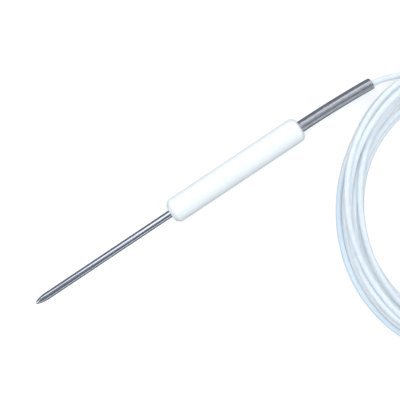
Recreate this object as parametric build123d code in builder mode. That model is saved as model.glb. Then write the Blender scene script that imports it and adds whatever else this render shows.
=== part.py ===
from build123d import *
from math import cos, pi, radians, sin
import os

# Resistance temperature sensor: a pointed probe stem, a plain round handle, a
# close-wound spring as strain relief and three-core cable in a loose round coil.
# It lies on a flat surface at Z = 0 with the point towards -X. The origin is on
# that surface, under the middle of the stem, handle and spring together.
# All sizes are in millimetres.

# Probe stem
sheath_diameter = 3.76
sheath_wall = 0.5
sheath_seat_diameter = 3.36
sheath_exposed = 79.6
point_length = 5.9
point_flat = 1.2
point_spigot = 3.0

# Measuring element inside the tip
element_diameter = 1.6
element_length = 15.0
element_bore = 0.42
element_bore_spacing = 0.7
element_setback = 0.8
winding_diameter = 0.36
seal_length = 0.8
element_lead_diameter = 0.2
element_lead_length = 4.0
joint_length = 2.0
joint_thickness = 0.6
joint_offset = 0.45
filling_beyond_joints = 4.0

# Wires from the element back to the splices
inner_lead_diameter = 0.8
inner_conductor_diameter = 0.3
inner_lead_circle = 0.52
inner_lead_strip = 1.5
inner_lead_bend = 14.0

# Handle
handle_diameter = 12.7
handle_length = 76.2
handle_front_chamfer = 2.1
handle_front_round = 0.9
handle_rear_flat = 0.15
handle_mouth_chamfer = 0.3

# Lengths inside the handle, as shares of the way from its front face to the ferrule
bore_share = 0.18
collar_share = 0.09
sheath_seat_share = 0.33
fan_out_share = 0.09
splice_start_share = 0.465
splice_share = 0.18
fan_in_share = 0.135
cable_start_share = 0.87

# Collar that locks the stem in the handle
collar_chamfer = 0.4

# Splices, three side by side in the handle. The sleeve's neck and taper are shares
# of the splice, and each open end of the crimp is a share of the crimp.
neck_share = 0.17
taper_share = 0.08
barrel_share = 0.45
splice_circle = 1.15
crimp_diameter = 1.15
sleeve_wall = 0.22
fan_straight = 1.0

# Cable
cable_diameter = 3.0
jacket_wall = 0.4
core_diameter = 1.0
conductor_diameter = 0.46
core_circle = 0.59
cable_mouth_offset = 0.45
cable_mouth_angle = 10.0
cable_first_run = 5.8

# Ferrule that joins the cable to the spring
ferrule_flange = 2.5
ferrule_spigot_length = 5.0
ferrule_chamfer = 0.35

# Strain relief spring, close wound
spring_diameter = 6.1
spring_wire = 0.8
spring_turn_gap = 0.01
spring_seat = 7.2
spring_exposed = 42.0
spring_bend = 4.8
spring_sag_direction = 209.6
wire_sides = 6
sections_per_turn = 12

# Coil of the cable: a flat ring, a little wider on one side
coil_middle = 54.3
coil_offset = 8.4
coil_inner_radius = 59.4
coil_width = 15.8
coil_shift = 1.6
coil_height = 6.2
coil_top_round = 2.4
coil_bottom_round = 1.2
coil_stub = 15.0

# Far end of the cable
end_sleeve_wall = 0.25
end_sleeve_on_jacket = 10.0
end_sleeve_beyond = 4.0
tinned_length = 7.0
flying_lead_first_run = 5.5

# Fits: play on the radius
bonded_play = 0.02
sliding_play = 0.05

# Cable route to the coil, chosen by hand: X and Y from the point of the coil's
# edge that is nearest to the probe, and height
cable_lead_points = [
    (-1.6, 3.65, 4.55),
    (3.5, 1.55, 4.45),
]

# Cable route out of the coil, chosen by hand: angle about the coil's centre from
# +X, distance inside the coil's inner edge, and rise off the surface as a share of
# the end sleeve's thickness
cable_tail_points = [
    (26, 1.55, 0),
    (10, 4.4, 0),
    (-8, 8.4, 0),
    (-27, 13.4, 0),
    (-48, 19.4, 1),
    (-72, 25.4, 1),
]

# Flying leads, chosen by hand: distance beyond the jacket's end, distance to
# the left of it, and rise off the surface. The first point of each lies on its core.
flying_lead_points = [
    [(12.2, -0.2, 0.14), (20.0, -2.4, 0), (28.0, -6.9, 0), (34.6, -13.2, 0)],
    [(11.8, -2.2, 0.04), (18.6, -6.6, 0), (24.6, -13.2, 0), (28.8, -21.2, 0)],
    [(12.0, 2.0, 0.04), (20.2, 3.8, 0), (28.6, 2.9, 0), (36.4, -0.8, 0)],
]

# Places that follow from the sizes
axis_height = handle_diameter / 2
spring_bend_radius = spring_exposed / radians(spring_bend)
spring_reach = spring_bend_radius * sin(radians(spring_bend))
probe_length = sheath_exposed + handle_length + spring_reach
tip_x = -probe_length / 2
handle_front_x = tip_x + sheath_exposed
handle_rear_x = handle_front_x + handle_length
sheath_bore = sheath_diameter - 2 * sheath_wall
cavity_diameter = spring_diameter + 2 * sliding_play
handle_end_wall = (handle_diameter - cavity_diameter) / 2
handle_rear_round = handle_end_wall - handle_mouth_chamfer - handle_rear_flat

seal_front_x = tip_x + point_length + point_spigot + element_setback
element_front_x = seal_front_x + seal_length
element_rear_x = element_front_x + element_length
element_lead_x = element_rear_x + seal_length
joint_x = element_lead_x + element_lead_length
joint_rear_x = joint_x + joint_length
filling_rear_x = joint_rear_x + filling_beyond_joints

spring_x = handle_rear_x - spring_seat
ferrule_x = spring_x - ferrule_flange
inside_length = ferrule_x - handle_front_x
cavity_front_x = handle_front_x + bore_share * inside_length
collar_length = collar_share * inside_length
sheath_rear_x = handle_front_x + sheath_seat_share * inside_length
splice_x = handle_front_x + splice_start_share * inside_length
splice_length = splice_share * inside_length
sleeve_neck = neck_share * splice_length
sleeve_taper = taper_share * splice_length
crimp_length = splice_length - 2 * (sleeve_neck + sleeve_taper)
barrel_depth = barrel_share * crimp_length
crimp_x = splice_x + sleeve_neck + sleeve_taper
crimp_rear_x = crimp_x + crimp_length
splice_rear_x = splice_x + splice_length
fan_out_length = fan_out_share * inside_length
fan_in_length = fan_in_share * inside_length
cable_x = handle_front_x + cable_start_share * inside_length

wire_depth = spring_wire / 2 * cos(pi / wire_sides)
spring_mean_radius = spring_diameter / 2 - wire_depth
spring_bore_radius = (spring_mean_radius - wire_depth) * cos(pi / sections_per_turn)

spring_drop = spring_bend_radius * (1 - cos(radians(spring_bend)))
cable_drop = spring_drop + cable_mouth_offset
cable_bend_radius = cable_drop / (1 - cos(radians(cable_mouth_angle)))
cable_bend_x = handle_rear_x + spring_reach - cable_bend_radius * sin(radians(cable_mouth_angle))

coil_outer_radius = coil_inner_radius + coil_width
coil_x = handle_rear_x + coil_middle
coil_outer_y = -coil_offset - coil_outer_radius
coil_y = coil_outer_y + coil_shift

inner_lead_angles = [0, 120, 240]
core_angles = [90, 210, 330]
probe_axis = Axis((0, 0, axis_height), (1, 0, 0))


def cross_plane(x):
    """Plane square to the probe axis at x: its x axis is +Y, its y axis +Z."""
    return Plane(origin=(x, 0, axis_height), x_dir=(0, 1, 0), z_dir=(1, 0, 0))


def on_circle(radius, angle):
    """Point on a circle about the origin of a sketch."""
    return (radius * cos(radians(angle)), radius * sin(radians(angle)))


def axial_plane(angle, out=0):
    """Plane along the probe: y points outwards at the angle from +Y, starting out from the axis."""
    y, z = on_circle(1, angle)
    return Plane(origin=(0, out * y, axis_height + out * z), x_dir=(1, 0, 0), z_dir=(0, -z, y))


def square_plane(path, at):
    """Plane square to a path at a share of its length."""
    return Plane(origin=path @ at, x_dir=Vector(0, 0, 1), z_dir=path % at)


def smooth_route(points):
    """Straight runs joined by arcs as large as each pair of runs allows."""
    runs = [end - start for start, end in zip(points, points[1:])]
    radii = []
    for before, after in zip(runs, runs[1:]):
        half_turn = radians(before.get_angle(after) / 2)
        radii.append(0.45 * min(before.length, after.length) * cos(half_turn) / sin(half_turn))
    with BuildLine() as line:
        FilletPolyline(*points, radius=radii)
    return line.wire(), radii


def report_route(name, wire, radii, solid, diameter):
    """Print a cord's length, its arcs and its volume against section times length."""
    expected = pi * diameter ** 2 / 4 * wire.length
    arcs = ", ".join(f"{radius:.1f}" for radius in radii)
    print(f"{name}: {wire.length:.1f} mm, radii {arcs}, volume {solid.volume / expected:.4f} of expected")


def save(piece, label):
    """Name a finished piece and write it to its own file."""
    piece.label = label
    export_step(piece, f"parts/{label}.step")


os.makedirs("parts", exist_ok=True)

# The bend of the spring and of the cable lies in one plane through the axis
sag_plane = axial_plane(spring_sag_direction)
cable_bend_axis = Axis(
    sag_plane.from_local_coords((cable_bend_x, cable_bend_radius, 0)),
    sag_plane.z_dir,
)

# Sheath: a drawn tube from behind the point to the handle. Its seat in the handle
# is turned down, so that a small shoulder stops at the handle's front face.
with BuildPart() as sheath_tube:
    with BuildSketch(cross_plane(tip_x + point_length)):
        Circle(sheath_diameter / 2)
        Circle(sheath_bore / 2, mode=Mode.SUBTRACT)
    extrude(amount=handle_front_x - tip_x - point_length)
    with BuildSketch(cross_plane(handle_front_x)):
        Circle(sheath_seat_diameter / 2)
        Circle(sheath_bore / 2, mode=Mode.SUBTRACT)
    extrude(amount=sheath_rear_x - handle_front_x)
save(sheath_tube.part, "sheath_tube")

# Point: a ground ogive with a small blunt end and a spigot in the tube
with BuildPart() as point_plug:
    with BuildSketch(axial_plane(90)):
        with BuildLine():
            shoulder = (tip_x + point_length, sheath_diameter / 2)
            rim = (tip_x, point_flat / 2)
            spigot_radius = sheath_bore / 2 - bonded_play
            TangentArc(shoulder, rim, tangent=(-1, 0))
            Polyline(
                rim,
                (tip_x, 0),
                (tip_x + point_length + point_spigot, 0),
                (tip_x + point_length + point_spigot, spigot_radius),
                (tip_x + point_length, spigot_radius),
                shoulder,
            )
        make_face()
    revolve(axis=probe_axis)
    fillet(point_plug.edges().sort_by(Axis.X)[0], point_flat / 5)
save(point_plug.part, "point_plug")

# Element body: a ceramic rod with two fine bores
with BuildPart() as element_body:
    with BuildSketch(cross_plane(element_front_x)):
        Circle(element_diameter / 2)
        with GridLocations(element_bore_spacing, 0, 2, 1):
            Circle(element_bore / 2, mode=Mode.SUBTRACT)
    extrude(amount=element_length)
save(element_body.part, "element_body")

# Platinum windings, one in each bore, at the outline of their fine coils
with BuildPart() as element_windings:
    with BuildSketch(cross_plane(element_front_x)):
        with GridLocations(element_bore_spacing, 0, 2, 1):
            Circle(winding_diameter / 2)
    extrude(amount=element_length)
save(element_windings.part, "element_windings")

# Glass seals over both ends of the element
with BuildPart() as element_front_seal:
    with BuildSketch(cross_plane(seal_front_x)):
        Circle(element_diameter / 2)
    extrude(amount=seal_length)
    fillet(element_front_seal.edges().sort_by(Axis.X)[0], seal_length / 3)
save(element_front_seal.part, "element_front_seal")

with BuildPart() as element_rear_seal:
    with BuildSketch(cross_plane(element_rear_x)):
        Circle(element_diameter / 2)
        with GridLocations(element_bore_spacing, 0, 2, 1):
            Circle(element_lead_diameter / 2, mode=Mode.SUBTRACT)
    extrude(amount=seal_length)
save(element_rear_seal.part, "element_rear_seal")

# Two bare leads from the windings, through the rear seal, to the welded joints
with BuildPart() as element_leads:
    with BuildSketch(cross_plane(element_rear_x)):
        with GridLocations(element_bore_spacing, 0, 2, 1):
            Circle(element_lead_diameter / 2)
    extrude(amount=joint_x - element_rear_x)
save(element_leads.part, "element_leads")

# Welded joints: one lead goes on to one wire, the other to two
with BuildPart() as lead_joint_single:
    with BuildSketch(cross_plane(joint_x)):
        with Locations((joint_offset, 0)):
            Circle(joint_thickness / 2)
    extrude(amount=joint_length)
save(lead_joint_single.part, "lead_joint_single")

with BuildPart() as lead_joint_double:
    pair_x, pair_y = on_circle(inner_lead_circle, 120)
    with BuildSketch(cross_plane(joint_x)):
        with Locations((pair_x, 0)):
            SlotCenterToCenter(2 * pair_y, joint_thickness, rotation=90)
    extrude(amount=joint_length)
save(lead_joint_double.part, "lead_joint_double")

# Inner leads: straight through the sheath, then fanned out to the splices
inner_leads = []
inner_conductors = []
fan_x = sheath_rear_x + fan_straight
for number, angle in enumerate(inner_lead_angles, start=1):
    with BuildLine(axial_plane(angle)) as lead_path:
        FilletPolyline(
            (joint_rear_x, inner_lead_circle),
            (fan_x, inner_lead_circle),
            (fan_x + fan_out_length, splice_circle),
            (crimp_x + barrel_depth, splice_circle),
            radius=inner_lead_bend,
        )
    with BuildPart() as inner_conductor:
        with BuildSketch(cross_plane(joint_rear_x)):
            with Locations(on_circle(inner_lead_circle, angle)):
                Circle(inner_conductor_diameter / 2)
        sweep(path=lead_path.wire())
    with BuildLine(axial_plane(angle)) as cover_path:
        FilletPolyline(
            (joint_rear_x + inner_lead_strip, inner_lead_circle),
            (fan_x, inner_lead_circle),
            (fan_x + fan_out_length, splice_circle),
            (splice_x + sleeve_neck, splice_circle),
            radius=inner_lead_bend,
        )
    with BuildPart() as inner_lead:
        with BuildSketch(cross_plane(joint_rear_x + inner_lead_strip)):
            with Locations(on_circle(inner_lead_circle, angle)):
                Circle(inner_lead_diameter / 2)
                Circle(inner_conductor_diameter / 2, mode=Mode.SUBTRACT)
        sweep(path=cover_path.wire())
    inner_conductors.append(inner_conductor.part)
    inner_leads.append(inner_lead.part)
    save(inner_conductor.part, f"inner_conductor_{number}")
    save(inner_lead.part, f"inner_lead_{number}")

# Filling: packed powder that holds the element and its joints in the sheath
with BuildPart() as sheath_filling:
    filling_x = tip_x + point_length + point_spigot
    with BuildSketch(cross_plane(filling_x)):
        Circle(sheath_bore / 2 - bonded_play)
    extrude(amount=filling_rear_x - filling_x)
    with BuildSketch(cross_plane(element_front_x)):
        Circle(element_diameter / 2)
    extrude(amount=element_lead_x - element_front_x, mode=Mode.SUBTRACT)
    add(element_front_seal.part, mode=Mode.SUBTRACT)
    add(element_leads.part, mode=Mode.SUBTRACT)
    add(lead_joint_single.part, mode=Mode.SUBTRACT)
    add(lead_joint_double.part, mode=Mode.SUBTRACT)
    add(inner_conductors, mode=Mode.SUBTRACT)
    add(inner_leads, mode=Mode.SUBTRACT)
save(sheath_filling.part, "sheath_filling")

# Handle: a turned rod with a chamfered front, a rounded rear and a stepped bore
with BuildPart() as handle:
    with BuildSketch(cross_plane(handle_front_x)):
        Circle(handle_diameter / 2)
    extrude(amount=handle_length)
    chamfer(handle.edges().sort_by(Axis.X)[0], handle_front_chamfer)
    fillet(handle.faces().filter_by(GeomType.CONE).edges(), handle_front_round)
    fillet(handle.edges().sort_by(Axis.X)[-1], handle_rear_round)
    with BuildSketch(cross_plane(handle_front_x)):
        Circle(sheath_seat_diameter / 2 + bonded_play)
    extrude(amount=cavity_front_x - handle_front_x, mode=Mode.SUBTRACT)
    with BuildSketch(cross_plane(cavity_front_x)):
        Circle(cavity_diameter / 2)
    extrude(amount=handle_rear_x - cavity_front_x, mode=Mode.SUBTRACT)
    rear_face = handle.faces().filter_by(GeomType.PLANE).sort_by(Axis.X)[-1]
    chamfer(rear_face.edges().sort_by(SortBy.RADIUS)[0], handle_mouth_chamfer)
save(handle.part, "handle")

# Collar: bonded on the sheath, against the step in the handle
with BuildPart() as sheath_collar:
    with BuildSketch(cross_plane(cavity_front_x)):
        Circle(cavity_diameter / 2 - sliding_play)
        Circle(sheath_seat_diameter / 2 + bonded_play, mode=Mode.SUBTRACT)
    extrude(amount=collar_length)
    outer_rims = sheath_collar.edges().filter_by(GeomType.CIRCLE).sort_by(SortBy.RADIUS)[-2:]
    chamfer(outer_rims, collar_chamfer)
save(sheath_collar.part, "sheath_collar")

# Splices: a crimped barrel with a wall between its two ends, under a shrunk sleeve
sleeve_bore = [
    (splice_x, inner_lead_diameter / 2),
    (splice_x + sleeve_neck, inner_lead_diameter / 2),
    (crimp_x, crimp_diameter / 2),
    (crimp_rear_x, crimp_diameter / 2),
    (splice_rear_x - sleeve_neck, core_diameter / 2),
    (splice_rear_x, core_diameter / 2),
]
sleeve_outside = [(x, radius + sleeve_wall) for x, radius in reversed(sleeve_bore)]
sleeve_axis_ends = [(splice_x, 0), (splice_rear_x, 0)]
splice_spaces = []
for number, angle in enumerate(inner_lead_angles, start=1):
    place = on_circle(splice_circle, angle)
    with BuildPart() as splice_crimp:
        with BuildSketch(cross_plane(crimp_x)):
            with Locations(place):
                Circle(crimp_diameter / 2)
        extrude(amount=crimp_length)
        with BuildSketch(cross_plane(crimp_x)):
            with Locations(place):
                Circle(inner_conductor_diameter / 2)
        extrude(amount=barrel_depth, mode=Mode.SUBTRACT)
        with BuildSketch(cross_plane(crimp_rear_x)):
            with Locations(place):
                Circle(conductor_diameter / 2)
        extrude(amount=-barrel_depth, mode=Mode.SUBTRACT)
    splice_plane = axial_plane(angle, out=splice_circle)
    splice_axis = Axis(splice_plane.origin, splice_plane.x_dir)
    with BuildPart() as splice_sleeve:
        with BuildSketch(splice_plane):
            with BuildLine():
                Polyline(*sleeve_bore, *sleeve_outside, close=True)
            make_face()
        revolve(axis=splice_axis)
    with BuildPart() as splice_space:
        with BuildSketch(splice_plane):
            with BuildLine():
                Polyline(*sleeve_axis_ends, *sleeve_outside, close=True)
            make_face()
        revolve(axis=splice_axis)
    splice_spaces.append(splice_space.part)
    save(splice_crimp.part, f"splice_crimp_{number}")
    save(splice_sleeve.part, f"splice_sleeve_{number}")

# Jacket of the held stretch: straight in the handle, then bent with the spring
with BuildPart() as cable_jacket_end:
    with BuildSketch(cross_plane(cable_x)):
        Circle(cable_diameter / 2)
        Circle(cable_diameter / 2 - jacket_wall, mode=Mode.SUBTRACT)
    extrude(amount=cable_bend_x - cable_x)
    with BuildSketch(cross_plane(cable_bend_x)):
        Circle(cable_diameter / 2)
        Circle(cable_diameter / 2 - jacket_wall, mode=Mode.SUBTRACT)
    revolve(axis=cable_bend_axis, revolution_arc=cable_mouth_angle)
save(cable_jacket_end.part, "cable_jacket_end")

# Cores and their conductors: from the splices into the jacket and along its bend
cable_cores = []
cable_conductors = []
fan_x = splice_rear_x + fan_straight
for number, angle in enumerate(inner_lead_angles, start=1):
    with BuildLine(axial_plane(angle)) as bare_path:
        FilletPolyline(
            (crimp_rear_x - barrel_depth, splice_circle),
            (fan_x, splice_circle),
            (fan_x + fan_in_length, core_circle),
            (cable_bend_x, core_circle),
            radius=inner_lead_bend,
        )
    with BuildLine(axial_plane(angle)) as core_path:
        FilletPolyline(
            (splice_rear_x - sleeve_neck, splice_circle),
            (fan_x, splice_circle),
            (fan_x + fan_in_length, core_circle),
            (cable_bend_x, core_circle),
            radius=inner_lead_bend,
        )
    with BuildPart() as cable_conductor:
        with BuildSketch(cross_plane(crimp_rear_x - barrel_depth)):
            with Locations(on_circle(splice_circle, angle)):
                Circle(conductor_diameter / 2)
        sweep(path=bare_path.wire())
        with BuildSketch(cross_plane(cable_bend_x)):
            with Locations(on_circle(core_circle, angle)):
                Circle(conductor_diameter / 2)
        revolve(axis=cable_bend_axis, revolution_arc=cable_mouth_angle)
    with BuildPart() as cable_core:
        with BuildSketch(cross_plane(splice_rear_x - sleeve_neck)):
            with Locations(on_circle(splice_circle, angle)):
                Circle(core_diameter / 2)
                Circle(conductor_diameter / 2, mode=Mode.SUBTRACT)
        sweep(path=core_path.wire())
        with BuildSketch(cross_plane(cable_bend_x)):
            with Locations(on_circle(core_circle, angle)):
                Circle(core_diameter / 2)
                Circle(conductor_diameter / 2, mode=Mode.SUBTRACT)
        revolve(axis=cable_bend_axis, revolution_arc=cable_mouth_angle)
    cable_conductors.append(cable_conductor.part)
    cable_cores.append(cable_core.part)
    save(cable_conductor.part, f"cable_conductor_{number}")
    save(cable_core.part, f"cable_core_{number}")

# Ferrule: crimped on the jacket, its flange ends the potting, its spigot holds the spring
with BuildPart() as cable_ferrule:
    with BuildSketch(cross_plane(ferrule_x)):
        Circle(cavity_diameter / 2 - sliding_play)
    extrude(amount=ferrule_flange)
    with BuildSketch(cross_plane(spring_x)):
        Circle(spring_bore_radius - sliding_play)
    extrude(amount=ferrule_spigot_length)
    chamfer(cable_ferrule.edges().sort_by(Axis.X)[-1], ferrule_chamfer)
    with BuildSketch(cross_plane(ferrule_x)):
        Circle(cable_diameter / 2 + bonded_play)
    extrude(amount=ferrule_flange + ferrule_spigot_length, mode=Mode.SUBTRACT)
save(cable_ferrule.part, "cable_ferrule")

# Potting: fills the handle between the collar and the ferrule
with BuildPart() as handle_potting:
    potting_x = cavity_front_x + collar_length
    with BuildSketch(cross_plane(potting_x)):
        Circle(cavity_diameter / 2 - bonded_play)
    extrude(amount=ferrule_x - potting_x)
    with BuildSketch(cross_plane(potting_x)):
        Circle(sheath_seat_diameter / 2)
    extrude(amount=sheath_rear_x - potting_x, mode=Mode.SUBTRACT)
    with BuildSketch(cross_plane(cable_x)):
        Circle(cable_diameter / 2)
    extrude(amount=ferrule_x - cable_x, mode=Mode.SUBTRACT)
    add(inner_leads, mode=Mode.SUBTRACT)
    add(inner_conductors, mode=Mode.SUBTRACT)
    add(splice_spaces, mode=Mode.SUBTRACT)
    add(cable_cores, mode=Mode.SUBTRACT)
    add(cable_conductors, mode=Mode.SUBTRACT)
save(handle_potting.part, "handle_potting")

# Spring: one wire wound turn against turn along a line that leaves the handle
# straight and then sags. Each section of the wire is square to the winding.
spring_pitch = spring_wire + spring_turn_gap
winding_length = spring_seat + spring_exposed - spring_wire
section_count = int(winding_length / spring_pitch * sections_per_turn)
section_step = winding_length / section_count
with BuildPart() as strain_relief_spring:
    for index in range(section_count + 1):
        travel = spring_wire / 2 + section_step * index - spring_seat
        bend = max(travel, 0) / spring_bend_radius
        centre = sag_plane.from_local_coords(
            (
                handle_rear_x + min(travel, 0) + spring_bend_radius * sin(bend),
                spring_bend_radius * (1 - cos(bend)),
                0,
            )
        )
        along = sag_plane.x_dir * cos(bend) + sag_plane.y_dir * sin(bend)
        across = sag_plane.y_dir * cos(bend) - sag_plane.x_dir * sin(bend)
        turn = 2 * pi * index / sections_per_turn
        outwards = across * cos(turn) + sag_plane.z_dir * sin(turn)
        section_plane = Plane(
            origin=centre + outwards * spring_mean_radius,
            x_dir=outwards,
            z_dir=along.cross(outwards),
        )
        with BuildSketch(section_plane):
            RegularPolygon(spring_wire / 2, wire_sides, rotation=180 / wire_sides)
    loft(ruled=True)
save(strain_relief_spring.part, "strain_relief_spring")

# Cable from the spring's mouth to the coil
mouth = sag_plane.from_local_coords((handle_rear_x + spring_reach, cable_drop, 0))
mouth_turn = radians(cable_mouth_angle)
mouth_direction = sag_plane.x_dir * cos(mouth_turn) + sag_plane.y_dir * sin(mouth_turn)
lead_route = [mouth, mouth + mouth_direction * cable_first_run]
lead_route += [Vector(coil_x + x, y - coil_offset, z) for x, y, z in cable_lead_points]
lead_wire, lead_radii = smooth_route(lead_route)
with BuildPart() as cable_lead:
    with BuildSketch(square_plane(lead_wire, 0)):
        Circle(cable_diameter / 2)
    sweep(path=lead_wire)
report_route("cable_lead", lead_wire, lead_radii, cable_lead.part, cable_diameter)
save(cable_lead.part, "cable_lead")

# Tail: the cable's last stretch, which leaves the coil inwards
tail_route = []
for angle, inside, raised in cable_tail_points:
    x, y = on_circle(coil_inner_radius - inside, angle)
    z = cable_diameter / 2 + raised * (bonded_play + end_sleeve_wall)
    tail_route.append(Vector(coil_x + x, coil_y + y, z))
tail_wire, tail_radii = smooth_route(tail_route)
with BuildPart() as cable_tail:
    with BuildSketch(square_plane(tail_wire, 0)):
        Circle(cable_diameter / 2)
    sweep(path=tail_wire)
report_route("cable_tail", tail_wire, tail_radii, cable_tail.part, cable_diameter)
save(cable_tail.part, "cable_tail")

# Coil: the outer shape of the turns, with a short stub for each end of the cable
with BuildPart() as cable_coil:
    with BuildSketch(Plane.XY):
        with Locations((coil_x, coil_outer_y)):
            Circle(coil_outer_radius)
        with Locations((coil_x, coil_y)):
            Circle(coil_inner_radius, mode=Mode.SUBTRACT)
    extrude(amount=coil_height)
    rims = cable_coil.edges().filter_by(GeomType.CIRCLE).group_by(Axis.Z)
    fillet(rims[-1], coil_top_round)
    rims = cable_coil.edges().filter_by(GeomType.CIRCLE).group_by(Axis.Z)
    fillet(rims[0], coil_bottom_round)
    with BuildSketch(square_plane(lead_wire, 1)):
        Circle(cable_diameter / 2)
    extrude(amount=coil_stub)
    with BuildSketch(square_plane(tail_wire, 0)):
        Circle(cable_diameter / 2)
    extrude(amount=-coil_stub)
save(cable_coil.part, "cable_coil")

# Shrunk sleeve over the end of the jacket
jacket_end = square_plane(tail_wire, 1)
with BuildPart() as jacket_end_sleeve:
    with BuildSketch(jacket_end.offset(end_sleeve_beyond)):
        Circle(cable_diameter / 2 + bonded_play + end_sleeve_wall)
        Circle(cable_diameter / 2 + bonded_play, mode=Mode.SUBTRACT)
    extrude(amount=-(end_sleeve_beyond + end_sleeve_on_jacket))
save(jacket_end_sleeve.part, "jacket_end_sleeve")

# Flying leads with tinned ends
end_point = jacket_end.origin
ahead = jacket_end.z_dir
left = Vector(0, 0, 1).cross(ahead)
for number, angle in enumerate(core_angles, start=1):
    offset, rise = on_circle(core_circle, angle)
    first = end_point + left * offset + Vector(0, 0, rise)
    points = [first, first + ahead * flying_lead_first_run]
    for distance, aside, rise in flying_lead_points[number - 1]:
        point = end_point + ahead * distance + left * aside
        points.append(Vector(point.X, point.Y, core_diameter / 2 + rise))
    flying_wire, flying_radii = smooth_route(points)
    with BuildPart() as flying_lead:
        with BuildSketch(square_plane(flying_wire, 0)):
            Circle(core_diameter / 2)
        sweep(path=flying_wire)
    report_route(f"flying_lead_{number}", flying_wire, flying_radii, flying_lead.part, core_diameter)
    with BuildPart() as tinned_end:
        with BuildSketch(square_plane(flying_wire, 1)):
            Circle(conductor_diameter / 2)
        extrude(amount=tinned_length)
        fillet(tinned_end.edges().sort_by_distance(flying_wire @ 1)[-1], conductor_diameter / 5)
    save(flying_lead.part, f"flying_lead_{number}")
    save(tinned_end.part, f"tinned_end_{number}")
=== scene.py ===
# %% [markdown]
# # Resistance temperature sensor
#
# The lesson dresses a finished CAD model of a penetration probe: a pointed steel stem, a white
# round handle, a close-wound spring as strain relief and a thin white cable in a loose coil.
# The solids come in as the fixed frame, in metres, with the point towards -X and the table at
# Z = 0. What bends or is wound is made again here: the spring and the cables.

# %% Load the solids
from math import cos, pi, radians, sin, sqrt

import bmesh
import bpy
from mathutils import Matrix, Vector


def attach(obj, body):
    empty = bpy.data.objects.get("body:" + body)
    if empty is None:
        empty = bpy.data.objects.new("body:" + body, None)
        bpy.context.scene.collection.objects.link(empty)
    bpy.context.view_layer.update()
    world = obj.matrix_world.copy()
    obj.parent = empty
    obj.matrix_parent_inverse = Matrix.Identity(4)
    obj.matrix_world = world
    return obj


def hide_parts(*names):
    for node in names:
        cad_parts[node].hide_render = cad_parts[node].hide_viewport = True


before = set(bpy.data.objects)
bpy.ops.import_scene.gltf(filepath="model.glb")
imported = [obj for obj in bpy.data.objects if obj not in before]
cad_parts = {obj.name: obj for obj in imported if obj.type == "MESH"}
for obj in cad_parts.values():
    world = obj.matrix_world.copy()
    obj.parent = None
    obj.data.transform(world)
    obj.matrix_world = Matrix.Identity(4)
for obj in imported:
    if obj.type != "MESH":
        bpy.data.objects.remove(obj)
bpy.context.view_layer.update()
print("solids loaded:", len(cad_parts))

# %% [markdown]
# ## The camera
#
# The photograph looks straight down on the probe, with the stem towards the lower left. A
# camera with no tilt keeps the view square to the table, and only its turn about Z sets the
# slope of the probe. A long lens far away would flatten the round parts; this one is as near
# as the photograph's own framing asks for.

# %% Camera
MM = 0.001
handle_rear = 56.925 * MM
probe_height = 6.35 * MM

camera_data = bpy.data.cameras.new("camera")
camera_data.lens = 85
camera_data.sensor_width = 36
camera = bpy.data.objects.new("camera", camera_data)
camera.location = (handle_rear - 60.6 * MM, -2.5 * MM, 471.05 * MM)
camera.rotation_euler = (0, 0, radians(-33.7))
bpy.context.scene.collection.objects.link(camera)
bpy.context.scene.camera = camera
print("camera height:", round(camera.location.z, 3))

# %% [markdown]
# ## A helper for cords
#
# A real cable has no corners, so each cord is one NURBS spline. Its control points are the
# route's points. The bevel gives it the round section: its depth is one metre, and each point's
# own radius scales that to the cord, which also keeps the curve's bounding box at its true
# size. The order and the end points are set after the points are there, because a spline with
# no points forgets them.

# %% Cords as splines
def make_cord(name, points, diameter, body="root"):
    curve = bpy.data.curves.new(name, "CURVE")
    curve.dimensions = "3D"
    curve.bevel_depth = 1
    curve.bevel_resolution = 4
    curve.use_fill_caps = True
    spline = curve.splines.new("NURBS")
    spline.points.add(len(points) - 1)
    for place, point in zip(spline.points, points):
        place.co = (*point, 1)
        place.radius = diameter / 2
    spline.order_u = 3
    spline.use_endpoint_u = True
    spline.resolution_u = 4
    cord = bpy.data.objects.new(name, curve)
    bpy.context.scene.collection.objects.link(cord)
    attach(cord, body)
    return cord


def centre_line(cord):
    """The points of the cord's own spline, read from a copy with no bevel."""
    bare = cord.copy()
    bare.data = cord.data.copy()
    bare.data.bevel_depth = 0
    bare.parent = None
    mesh = bpy.data.meshes.new_from_object(bare)
    line = [vertex.co.copy() for vertex in mesh.vertices]
    bpy.data.objects.remove(bare)
    bpy.data.meshes.remove(mesh)
    return line

# %% [markdown]
# ## The coil
#
# Eight turns of cable lie beside and on each other. A person winds them by hand, so no two
# turns keep the same radius: each row below is one turn, and says in millimetres how far the
# cable is from the coil's middle at eight places, from the probe's end to the free end. Written
# as radii, a turn can be moved in or out by one number, and a smooth curve joins them. The
# places stand closer where the turns cross each other more.

# %% Where the turns run
cable_diameter = 3.0 * MM
coil_middle = Vector((handle_rear + 54.3 * MM, -82.0 * MM, 0))
places_in_turn = [30, -30, -90, -150, -180, -210, -240, -270]
radii_in_turn = [
    [76.8, 76.2, 72.6, 69.4, 66.5, 67.8, 71.0, 73.4],
    [72.0, 71.6, 72.0, 71.5, 69.5, 66.9, 68.1, 69.5],
    [69.0, 69.0, 69.4, 71.6, 70.3, 68.1, 67.8, 70.2],
    [73.4, 73.4, 75.0, 75.8, 73.7, 71.0, 70.7, 73.3],
    [68.0, 64.8, 64.8, 64.8, 61.2, 60.6, 64.5, 68.7],
    [70.5, 70.4, 70.2, 69.9, 67.1, 64.0, 64.3, 66.0],
    [64.8, 66.4, 67.3, 67.4, 64.5, 62.4, 61.9, 61.8],
    [61.6, 61.6, 61.6, 61.8, 60.6, 59.7, 60.1, 60.1],
]
marks = [(90, 75.6)]
for turn, row in enumerate(radii_in_turn):
    marks += [(place - 360 * turn, radius) for place, radius in zip(places_in_turn, row)]
last_angle = marks[-1][0]
marks += [(last_angle - 60, 58.6), (last_angle - 120, 56.0), (last_angle - 180, 53.0)]
first_angle = 80
points_per_turn = 48
coil_points = 391
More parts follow.
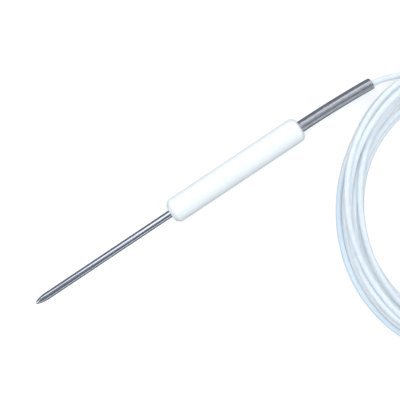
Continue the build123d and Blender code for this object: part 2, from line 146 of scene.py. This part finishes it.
step = 360 / points_per_turn
angles = [first_angle - step * index for index in range(coil_points)]


def slope_at(index):
    """How fast the radius changes with the angle at one of the marks."""
    if index in (0, len(marks) - 1):
        return 0
    (angle_before, before), (angle_after, after) = marks[index - 1], marks[index + 1]
    return (after - before) / (angle_before - angle_after)


def radius_at(angle):
    """Radius between two marks, on a smooth curve through them."""
    index = max(number for number, mark in enumerate(marks[:-1]) if mark[0] >= angle)
    (start, here), (end, after) = marks[index], marks[index + 1]
    share = (start - angle) / (start - end)
    leave, arrive = (slope_at(number) * (start - end) for number in (index, index + 1))
    rise = after - here
    square = 3 * rise - 2 * leave - arrive
    cube = leave + arrive - 2 * rise
    return here + share * (leave + share * (square + share * cube))


radii = [radius_at(angle) * MM for angle in angles]
print("turns:", round((angles[0] - angles[-1]) / 360, 2))
print("radii:", round(min(radii), 4), round(max(radii), 4))

# %% [markdown]
# The heights follow from the order in which the turns were laid. The free end lies lowest and
# the probe's end was laid last, so the loop runs backwards and rests each point on what is
# already there: on the table, or in the groove between two turns. A stiff cable can't drop at
# once, so it comes down by no more than a little at each point. Where the cable arrives from
# the probe it runs outside the pile, at one height. Soft plastic gives a little where two turns
# touch, so two turns may sink into each other by a twentieth of a millimetre.

# %% How high they lie
press = 0.05 * MM
touch = cable_diameter - press
largest_drop = 0.8 * MM
lead_height = 4.45 * MM
heights = [cable_diameter / 2] * len(radii)
for here in reversed(range(len(radii))):
    for below in range(here + points_per_turn, len(radii), points_per_turn):
        apart = abs(radii[here] - radii[below])
        if apart < touch:
            heights[here] = max(heights[here], heights[below] + sqrt(touch ** 2 - apart ** 2))
    if here + 1 < len(radii):
        heights[here] = max(heights[here], heights[here + 1] - largest_drop)
    for after in range(here + 1, len(radii)):
        heights[after] = max(heights[after], heights[after - 1] - largest_drop)
outside_points = 16
heights[:outside_points] = [lead_height] * outside_points
for here in reversed(range(outside_points)):
    heights[here] = max(heights[here], heights[here + 1] - largest_drop)
print("heights:", round(min(heights), 5), round(max(heights), 5))

# %% [markdown]
# The whole cable is one piece from the spring's mouth to the end of its jacket: a short lead to
# the coil, the turns, and a tail that leaves the coil inwards. One spline keeps it smooth where
# the three meet.

# %% The cable
mouth = Vector((98.875, -1.920, 5.259)) * MM
mouth_direction = Vector((0.9848, -0.1510, -0.0858))
lead_points = [
    mouth,
    mouth + mouth_direction * 5.8 * MM,
    coil_middle + Vector((-1.6, 77.25, 4.55)) * MM,
    coil_middle + Vector((3.5, 75.15, 4.45)) * MM,
]
turn_points = [
    coil_middle + Vector((radius * cos(radians(angle)), radius * sin(radians(angle)), height))
    for angle, radius, height in zip(angles, radii, heights)
]
coil_inner_radius = 59.4
tail_points = [
    coil_middle + Vector((
        (coil_inner_radius - inside) * cos(radians(angle)),
        (coil_inner_radius - inside) * sin(radians(angle)),
        height,
    )) * MM
    for angle, inside, height in [
        (26, 1.55, 1.5),
        (10, 4.4, 1.5),
        (-8, 8.4, 1.5),
        (-27, 13.4, 1.5),
        (-48, 19.4, 1.77),
        (-72, 25.4, 1.77),
    ]
]
cable = make_cord("cable", lead_points + turn_points + tail_points, cable_diameter)
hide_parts("cable_lead", "cable_coil", "cable_tail")
cable_line = centre_line(cable)
cable_length = sum((b - a).length for a, b in zip(cable_line, cable_line[1:]))
print("cable:", round(cable_length, 3), "m")

# %% [markdown]
# ## The free end
#
# A shrunk sleeve closes the jacket. It grips the cable tightly and is a little narrower where
# it has shrunk past the jacket's edge. It is drawn along the cable's own line, ring after ring,
# so that it bends with it. Each ring has a distance from the jacket's end and a height above
# the jacket, in millimetres; the last ones line the bore.

# %% End sleeve
def tube_along(name, rings, sides=32, body="root"):
    """A skin through rings, each given as (place, direction, radius)."""
    mesh = bmesh.new()
    loops = []
    for place, direction, radius in rings:
        turn = direction.to_track_quat("Z", "Y").to_matrix().to_4x4()
        made = bmesh.ops.create_circle(
            mesh, segments=sides, radius=radius, matrix=Matrix.Translation(place) @ turn)
        loops.append({edge for vertex in made["verts"] for edge in vertex.link_edges})
    for one, other in zip(loops, loops[1:]):
        bmesh.ops.bridge_loops(mesh, edges=list(one | other))
    bmesh.ops.recalc_face_normals(mesh, faces=mesh.faces)
    for face in mesh.faces:
        face.smooth = True
    data = bpy.data.meshes.new(name)
    mesh.to_mesh(data)
    mesh.free()
    piece = bpy.data.objects.new(name, data)
    bpy.context.scene.collection.objects.link(piece)
    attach(piece, body)
    return piece


def place_on(line, from_end):
    """Place and direction at a distance back from the line's end."""
    rest = from_end
    for ahead, behind in zip(reversed(line), list(reversed(line))[1:]):
        length = (ahead - behind).length
        if rest <= length:
            direction = (ahead - behind).normalized()
            return ahead - direction * rest, direction
        rest -= length


end_place, end_direction = place_on(cable_line, 0)
jacket_radius = cable_diameter / 2
wall = 0.27
bore = 0.02
rings_on_jacket = [
    (10.0, bore), (10.0, 0.20), (9.8, wall), (8.0, wall),
    (6.0, wall), (4.0, wall), (2.0, wall), (0.0, wall),
]
rings_beyond = [
    (0.6, 0.24), (2.0, 0.12), (3.6, 0.06), (4.0, 0.0),
    (4.0, -0.22), (2.0, -0.15), (0.1, bore),
]
rings_in_bore = [(2.0, bore), (4.0, bore), (6.0, bore), (8.0, bore), (10.0, bore)]


def rings_back(rings):
    """Rings at distances back from the jacket's end, which follow its bend."""
    return [(*place_on(cable_line, back * MM), jacket_radius + above * MM)
            for back, above in rings]


sleeve_rings = rings_back(rings_on_jacket)
for beyond, above in rings_beyond:
    place = end_place + end_direction * beyond * MM
    sleeve_rings.append((place, end_direction, jacket_radius + above * MM))
sleeve_rings += rings_back(rings_in_bore)
end_sleeve = tube_along("end_sleeve", sleeve_rings)
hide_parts("jacket_end_sleeve")
print("sleeve faces:", len(end_sleeve.data.polygons))

# %% [markdown]
# Two red cores and a white one come out of the jacket. They carry the resistance signal: with
# three wires the instrument can take the cable's own resistance out of the reading.

# %% Flying leads
core_diameter = 1.0 * MM
core_circle = 0.59
straight_start = 5.5 * MM
end_point = tail_points[-1]
ahead = (tail_points[-1] - tail_points[-2]).normalized()
left = Vector((0, 0, 1)).cross(ahead)
lead_routes = [
    (90, [(12.2, -0.2, 0.64), (20.0, -2.4, 0.5), (28.0, -6.9, 0.5), (34.6, -13.2, 0.5)]),
    (210, [(11.8, -2.2, 0.54), (18.6, -6.6, 0.5), (24.6, -13.2, 0.5), (28.8, -21.2, 0.5)]),
    (330, [(12.0, 2.0, 0.54), (20.2, 3.8, 0.5), (28.6, 2.9, 0.5), (36.4, -0.8, 0.5)]),
]
for number, (angle, route) in enumerate(lead_routes, start=1):
    turned = radians(angle)
    across = left * core_circle * cos(turned) + Vector((0, 0, core_circle * sin(turned)))
    first = end_point + across * MM
    points = [first, first + ahead * straight_start]
    for distance, aside, height in route:
        point = end_point + (ahead * distance + left * aside) * MM
        points.append(Vector((point.x, point.y, height * MM)))
    lead = make_cord(f"flying_lead_{number}_core", points, core_diameter)
    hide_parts(f"flying_lead_{number}")

# %% [markdown]

print("cable and flying leads made")

# %% [markdown]
# ## The spring
#
# The real spring is one hard-drawn wire wound turn against turn. Spinning a small circle about
# the axis while it moves along winds the same helix. The coil is then laid along the line that
# the CAD spring has: straight in the handle, and sagging in an arc outside it.

# %% Strain relief spring
spring_wire = 0.8 * MM
spring_radius = (6.1 * MM - spring_wire) / 2
spring_seat = 7.2 * MM
spring_exposed = 42.0 * MM
bend_radius = spring_exposed / radians(4.8)
sag_angle = radians(209.6)
wire_gap = 0.01 * MM
travel = spring_seat + spring_exposed - spring_wire
wire_turns = travel / (spring_wire + wire_gap)
sections_per_turn = 24

coil = bmesh.new()
bmesh.ops.create_circle(
    coil, segments=10, radius=spring_wire / 2,
    matrix=Matrix.Translation((spring_wire / 2 - spring_seat, spring_radius, 0)))
steps = int(wire_turns * sections_per_turn)
bmesh.ops.spin(
    coil, geom=coil.edges[:] + coil.verts[:], cent=(0, 0, 0), axis=(1, 0, 0),
    dvec=(travel / steps, 0, 0), angle=2 * pi * steps / sections_per_turn, steps=steps,
    use_merge=False, use_duplicate=False)
print("spring faces:", len(coil.faces))

# %% [markdown]
# Bending moves each point of the straight coil on to the arc. What is in front of the handle's
# end face stays straight. Behind it, the distance along the axis becomes an angle of the arc,
# and the side towards the arc's centre gets shorter, as the inner side of a bent spring does.

# %% Bend the wound wire
sag = Vector((0, cos(sag_angle), sin(sag_angle)))
side = Vector((1, 0, 0)).cross(sag)
for vertex in coil.verts:
    down = Vector((0, vertex.co.y, vertex.co.z)).dot(sag)
    aside = Vector((0, vertex.co.y, vertex.co.z)).dot(side)
    bend = max(vertex.co.x, 0) / bend_radius
    along = min(vertex.co.x, 0) + (bend_radius - down) * sin(bend)
    below = bend_radius - (bend_radius - down) * cos(bend)
    vertex.co = Vector((handle_rear + along, 0, probe_height)) + sag * below + side * aside
bmesh.ops.holes_fill(coil, edges=[edge for edge in coil.edges if edge.is_boundary])
bmesh.ops.recalc_face_normals(coil, faces=coil.faces)
for face in coil.faces:
    face.smooth = True
spring_mesh = bpy.data.meshes.new("spring_wire")
coil.to_mesh(spring_mesh)
coil.free()
spring = bpy.data.objects.new("spring_wire", spring_mesh)
bpy.context.scene.collection.objects.link(spring)
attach(spring, "root")
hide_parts("strain_relief_spring")
print("spring bent, faces:", len(spring_mesh.polygons))

# %% [markdown]
# ## Materials
#
# Every surface here has a grain: drawn steel has long fine lines, a turned rod has faint rings,
# and moulded or cast pieces a soft mottle. One helper stretches noise along or across the probe
# and lets it move the colour, the roughness and the surface a little.

# %% A helper for materials
def grained(name, dark, light, roughness, scale, stretch=(1, 1, 1), bump=0.02, metallic=0.0):
    material = bpy.data.materials.new(name)
    material.use_nodes = True
    nodes = material.node_tree.nodes
    links = material.node_tree.links
    shader = nodes["Principled BSDF"]
    shader.inputs["Metallic"].default_value = metallic
    coordinates = nodes.new("ShaderNodeTexCoord")
    mapping = nodes.new("ShaderNodeMapping")
    mapping.inputs["Scale"].default_value = stretch
    noise = nodes.new("ShaderNodeTexNoise")
    noise.inputs["Scale"].default_value = scale
    noise.inputs["Detail"].default_value = 3
    colour = nodes.new("ShaderNodeValToRGB")
    colour.name = "colour"
    colour.color_ramp.elements[0].position = 0.3
    colour.color_ramp.elements[1].position = 0.7
    colour.color_ramp.elements[0].color = (*dark, 1)
    colour.color_ramp.elements[1].color = (*light, 1)
    gloss = nodes.new("ShaderNodeMapRange")
    gloss.inputs["To Min"].default_value = roughness[0]
    gloss.inputs["To Max"].default_value = roughness[1]
    relief = nodes.new("ShaderNodeBump")
    relief.inputs["Strength"].default_value = bump
    relief.inputs["Distance"].default_value = 0.0001
    links.new(coordinates.outputs["Object"], mapping.inputs["Vector"])
    links.new(mapping.outputs["Vector"], noise.inputs["Vector"])
    links.new(noise.outputs["Fac"], colour.inputs["Fac"])
    links.new(noise.outputs["Fac"], gloss.inputs["Value"])
    links.new(noise.outputs["Fac"], relief.inputs["Height"])
    links.new(colour.outputs["Color"], shader.inputs["Base Color"])
    links.new(gloss.outputs["Result"], shader.inputs["Roughness"])
    links.new(relief.outputs["Normal"], shader.inputs["Normal"])
    return material


def paint(material, slot, *names):
    for name in names:
        piece = bpy.data.objects[name]
        piece.data.materials.clear()
        piece.data.materials.append(material)

# %% [markdown]
# The stem is drawn tube, ground fine, so its grain runs along it. The spring's wire is bright
# and smooth. Collar and ferrule are turned pieces, and only show when the model is opened.

# %% Metals
stem = grained("stem_steel", (0.55, 0.56, 0.59), (0.72, 0.73, 0.76), (0.16, 0.24),
               4000, (0.02, 1, 1), 0.04, 1.0)
wire_steel = grained("spring_steel", (0.68, 0.68, 0.69), (0.88, 0.88, 0.89), (0.20, 0.30),
                     3000, (1, 1, 1), 0.1, 1.0)
collar = grained("collar_steel", (0.50, 0.50, 0.52), (0.62, 0.62, 0.64), (0.25, 0.35),
                 3000, (1, 0.05, 0.05), 0.05, 1.0)
tinned = grained("tinned_copper", (0.62, 0.62, 0.64), (0.76, 0.76, 0.78), (0.25, 0.4),
                 5000, (0.2, 0.2, 1), 0.1, 1.0)
platinum = grained("platinum", (0.66, 0.65, 0.62), (0.78, 0.77, 0.74), (0.15, 0.25),
                   5000, (0.1, 1, 1), 0.05, 1.0)
crimp = grained("crimp_metal", (0.58, 0.57, 0.54), (0.72, 0.71, 0.68), (0.3, 0.45),
                4000, (0.3, 1, 1), 0.1, 1.0)
paint(stem, "stem_steel", "sheath_tube", "point_plug")
paint(wire_steel, "spring_steel", "spring_wire")
paint(collar, "collar_steel", "sheath_collar", "cable_ferrule")
paint(platinum, "platinum", "element_windings", "element_leads",
      "lead_joint_single", "lead_joint_double")
print("metals:", 6)

# %% [markdown]
# The handle and the cable's jacket are white fluoropolymer, which stands heat and grease, and
# its surface stays waxy and matt. Inside are the materials of a sensing element: alumina
# ceramic, glass seals, packed oxide powder, and a resin that pots the handle.

# %% Plastics, ceramics and glass
handle_white = grained("handle_white", (0.83, 0.88, 0.88), (0.87, 0.92, 0.915), (0.32, 0.42),
                       900, (0.6, 1, 1), 0.01)
jacket_white = grained("cable_jacket", (0.60, 0.655, 0.695), (0.645, 0.695, 0.735),
                       (0.28, 0.38), 300, (1, 1, 1), 0.01)
core_red = grained("core_red", (0.50, 0.04, 0.035), (0.66, 0.07, 0.06), (0.3, 0.4), 1500)
core_white = grained("core_white", (0.82, 0.83, 0.83), (0.90, 0.91, 0.91), (0.3, 0.4), 1500)
inner_white = grained("inner_insulation", (0.84, 0.84, 0.82), (0.91, 0.91, 0.89),
                      (0.35, 0.45), 1500)
shrunk = grained("end_sleeve", (0.80, 0.82, 0.82), (0.90, 0.92, 0.92), (0.3, 0.4),
                 600, (1, 1, 1), 0.05)
potting = grained("potting", (0.58, 0.50, 0.34), (0.72, 0.66, 0.50), (0.35, 0.5),
                  700, (1, 1, 1), 0.1)
powder = grained("powder", (0.78, 0.77, 0.74), (0.92, 0.91, 0.88), (0.85, 0.95),
                 8000, (1, 1, 1), 0.4)
ceramic = grained("element_ceramic", (0.84, 0.83, 0.79), (0.93, 0.92, 0.88), (0.45, 0.6),
                  3000, (0.2, 1, 1), 0.1)
glass = grained("seal_glass", (0.45, 0.60, 0.56), (0.58, 0.72, 0.68), (0.05, 0.15), 2000)
print("plastics, ceramics and glass:", 10)

# %% [markdown]
# Thin white fluoropolymer lets light through: the light enters, scatters a few millimetres and
# comes out again, so round pieces look flat and bright. Subsurface scattering does the same.
# The jacket also gets a faint painted glow: an emission that stands in for the light that eight
# turns pass on to each other.

# %% Translucent white
def translucent(material, weight):
    shader = material.node_tree.nodes["Principled BSDF"]
    shader.inputs["Subsurface Weight"].default_value = weight
    shader.inputs["Subsurface Radius"].default_value = (1.0, 1.0, 1.0)
    shader.inputs["Subsurface Scale"].default_value = 0.003
    return shader


translucent(handle_white, 0.6)
jacket = translucent(jacket_white, 0.9)
# Painted glow: a faint cool emission on the jacket, standing in for the light that the turns
# pass on to each other.
jacket.inputs["Emission Color"].default_value = (0.88, 0.96, 1.0, 1)
jacket.inputs["Emission Strength"].default_value = 0.15
print("translucent materials:", 2)

# %% [markdown]
# The lowest turns on the outside of the coil look bluer: they are thin, lie in the shade of the
# turns above, and pick up cool light from the side.
# That cool shade is painted into the jacket's colour. The painted shade is mixed in where three
# things hold together: the surface is outside a circle about the coil, low, and on the side away
# from the probe. Each is a map range from 0 to 1, and their product is the share of the painted
# shade.

# %% Painted cool shade on the low outer turns
def math_node(nodes, kind, operation):
    node = nodes.new(kind)
    node.operation = operation
    return node


def ramp(nodes, start, end):
    node = nodes.new("ShaderNodeMapRange")
    node.inputs["From Min"].default_value = start * MM
    node.inputs["From Max"].default_value = end * MM
    return node


nodes = jacket_white.node_tree.nodes
links = jacket_white.node_tree.links
coordinates = nodes["Texture Coordinate"].outputs["Object"]
centred = nodes.new("ShaderNodeMapping")
centred.inputs["Location"].default_value = -coil_middle + Vector((1.8, 4.9, 0)) * MM
flat = math_node(nodes, "ShaderNodeVectorMath", "MULTIPLY")
flat.inputs[1].default_value = (1, 1, 0)
distance = math_node(nodes, "ShaderNodeVectorMath", "LENGTH")
split = nodes.new("ShaderNodeSeparateXYZ")
outside = ramp(nodes, 69.8, 71.0)
low = ramp(nodes, 4.2, 3.0)
near_side = ramp(nodes, -28, -40)
low_outside = math_node(nodes, "ShaderNodeMath", "MULTIPLY")
painted_shade_share = math_node(nodes, "ShaderNodeMath", "MULTIPLY")
# Painted shade: a cooler, bluer jacket colour mixed in where the low outer turns lie in shade.
painted_shade_tint = nodes.new("ShaderNodeMix")
painted_shade_tint.data_type = "RGBA"
painted_shade_tint.inputs["B"].default_value = (0.55, 0.66, 0.745, 1)
links.new(coordinates, centred.inputs["Vector"])
links.new(centred.outputs["Vector"], flat.inputs[0])
links.new(flat.outputs["Vector"], distance.inputs[0])
links.new(distance.outputs["Value"], outside.inputs["Value"])
links.new(coordinates, split.inputs["Vector"])
links.new(split.outputs["Z"], low.inputs["Value"])
links.new(outside.outputs["Result"], low_outside.inputs[0])
links.new(low.outputs["Result"], low_outside.inputs[1])
links.new(split.outputs["Y"], near_side.inputs["Value"])
links.new(low_outside.outputs["Value"], painted_shade_share.inputs[0])
links.new(near_side.outputs["Result"], painted_shade_share.inputs[1])
links.new(painted_shade_share.outputs["Value"], painted_shade_tint.inputs["Factor"])
links.new(nodes["colour"].outputs["Color"], painted_shade_tint.inputs["A"])
links.new(painted_shade_tint.outputs["Result"], jacket.inputs["Base Color"])
print("jacket nodes:", len(nodes))

# %% [markdown]
# Each material goes on every piece made of it, seen or not.

# %% Put the plastics on
paint(handle_white, "handle_plastic", "handle")
paint(jacket_white, "cable_jacket", "cable", "cable_jacket_end",
      "cable_lead", "cable_coil", "cable_tail")
paint(shrunk, "end_sleeve", "end_sleeve", "jacket_end_sleeve")
paint(potting, "potting", "handle_potting")
paint(powder, "powder", "sheath_filling")
paint(ceramic, "element_ceramic", "element_body")
paint(glass, "seal_glass", "element_front_seal", "element_rear_seal")
cores = [(1, core_red, "core_red"), (2, core_red, "core_red"), (3, core_white, "core_white")]
for number, core, slot in cores:
    paint(core, slot,
          f"flying_lead_{number}_core", f"flying_lead_{number}", f"cable_core_{number}")
    paint(inner_white, "inner_insulation", f"inner_lead_{number}")
    paint(tinned, "wire",
          f"inner_conductor_{number}", f"cable_conductor_{number}", f"tinned_end_{number}")
    paint(crimp, "crimp_metal", f"splice_crimp_{number}")
    paint(shrunk, "end_sleeve", f"splice_sleeve_{number}")
print("materials in use:", len([m for m in bpy.data.materials if m.users]))

# %% [markdown]
# ## Table and light
#
# The probe lies on a plain white table that glows a little, so that its shadows stay pale. The
# table is kept out of reflections: polished steel would turn white with it, and the stem's dark
# bands come from the dim cool world instead.

# %% Table
bpy.ops.mesh.primitive_plane_add(size=6)
table = bpy.context.object
table.name = "table"
table_white = grained("table_white", (0.90, 0.90, 0.90), (0.92, 0.92, 0.92), (0.9, 0.95),
                      40, (1, 1, 1), 0.0)
table_shader = table_white.node_tree.nodes["Principled BSDF"]
table_shader.inputs["Emission Color"].default_value = (1, 1, 1, 1)
table_shader.inputs["Emission Strength"].default_value = 0.3
table.data.materials.append(table_white)
table.visible_glossy = False
table.visible_diffuse = False

world = bpy.data.worlds.new("world")
bpy.context.scene.world = world
world.use_nodes = True
background = world.node_tree.nodes["Background"]
background.inputs["Color"].default_value = (0.80, 0.92, 1.10, 1)
background.inputs["Strength"].default_value = 0.22
bpy.context.scene.view_settings.view_transform = "Standard"
print("table and world made")

# %% [markdown]
# Two kinds of light do two jobs. A wide overhead light and a low one on each side light the
# white pieces evenly and are not seen in the steel. Narrow strips are seen only as reflections:
# a long one high on the left draws the bright line along stem and spring, a small one brightens
# that line near the handle, a lower one on the right draws the second, dimmer line, and one at
# each end catches the spring's round wires.

# %% Lights
light_aim = Vector((0.02, -0.02, 0))
cool = (0.94, 0.96, 1.08)
cool_small = (0.96, 0.96, 1.08)


def soft_light(name, place, size, power, glossy=True, diffuse=True, colour=(1, 1, 1)):
    data = bpy.data.lights.new(name, "AREA")
    data.shape = "RECTANGLE"
    data.size, data.size_y = size
    data.energy = power
    data.color = colour
    light = bpy.data.objects.new(name, data)
    light.location = place
    facing = Vector(place) - light_aim
    light.rotation_euler = facing.to_track_quat("Z", "Y").to_euler()
    light.visible_camera = False
    light.visible_glossy = glossy
    light.visible_diffuse = diffuse
    bpy.context.scene.collection.objects.link(light)


soft_light("overhead", (0.0, 0.30, 1.40), (4.0, 4.0), 62, glossy=False)
soft_light("side_left", (0.0, 1.60, 0.55), (4.0, 1.0), 13, glossy=False)
soft_light("side_right", (0.0, -1.60, 0.55), (4.0, 1.0), 13, glossy=False)
soft_light("strip_left", (0.20, 0.70, 0.74), (2.4, 0.40), 4.9, diffuse=False, colour=cool)
soft_light("near_handle", (-0.06, 0.30, 0.95), (0.22, 0.56), 0.60, diffuse=False,
           colour=cool_small)
soft_light("strip_right", (0.05, -0.96, 0.33), (2.4, 0.20), 2.4, diffuse=False)
soft_light("front_end", (-0.95, 0.1, 0.60), (0.8, 0.4), 1.5, diffuse=False)
soft_light("rear_end", (1.05, 0.1, 0.60), (0.8, 0.4), 1.5, diffuse=False)

# %% [markdown]
# The last cell brings the scene up to date. The box of the dressed model differs from the box of
# the solids only where the cable's pile and the spring's wire reach past the solids.

# %% The end
bpy.context.view_layer.update()
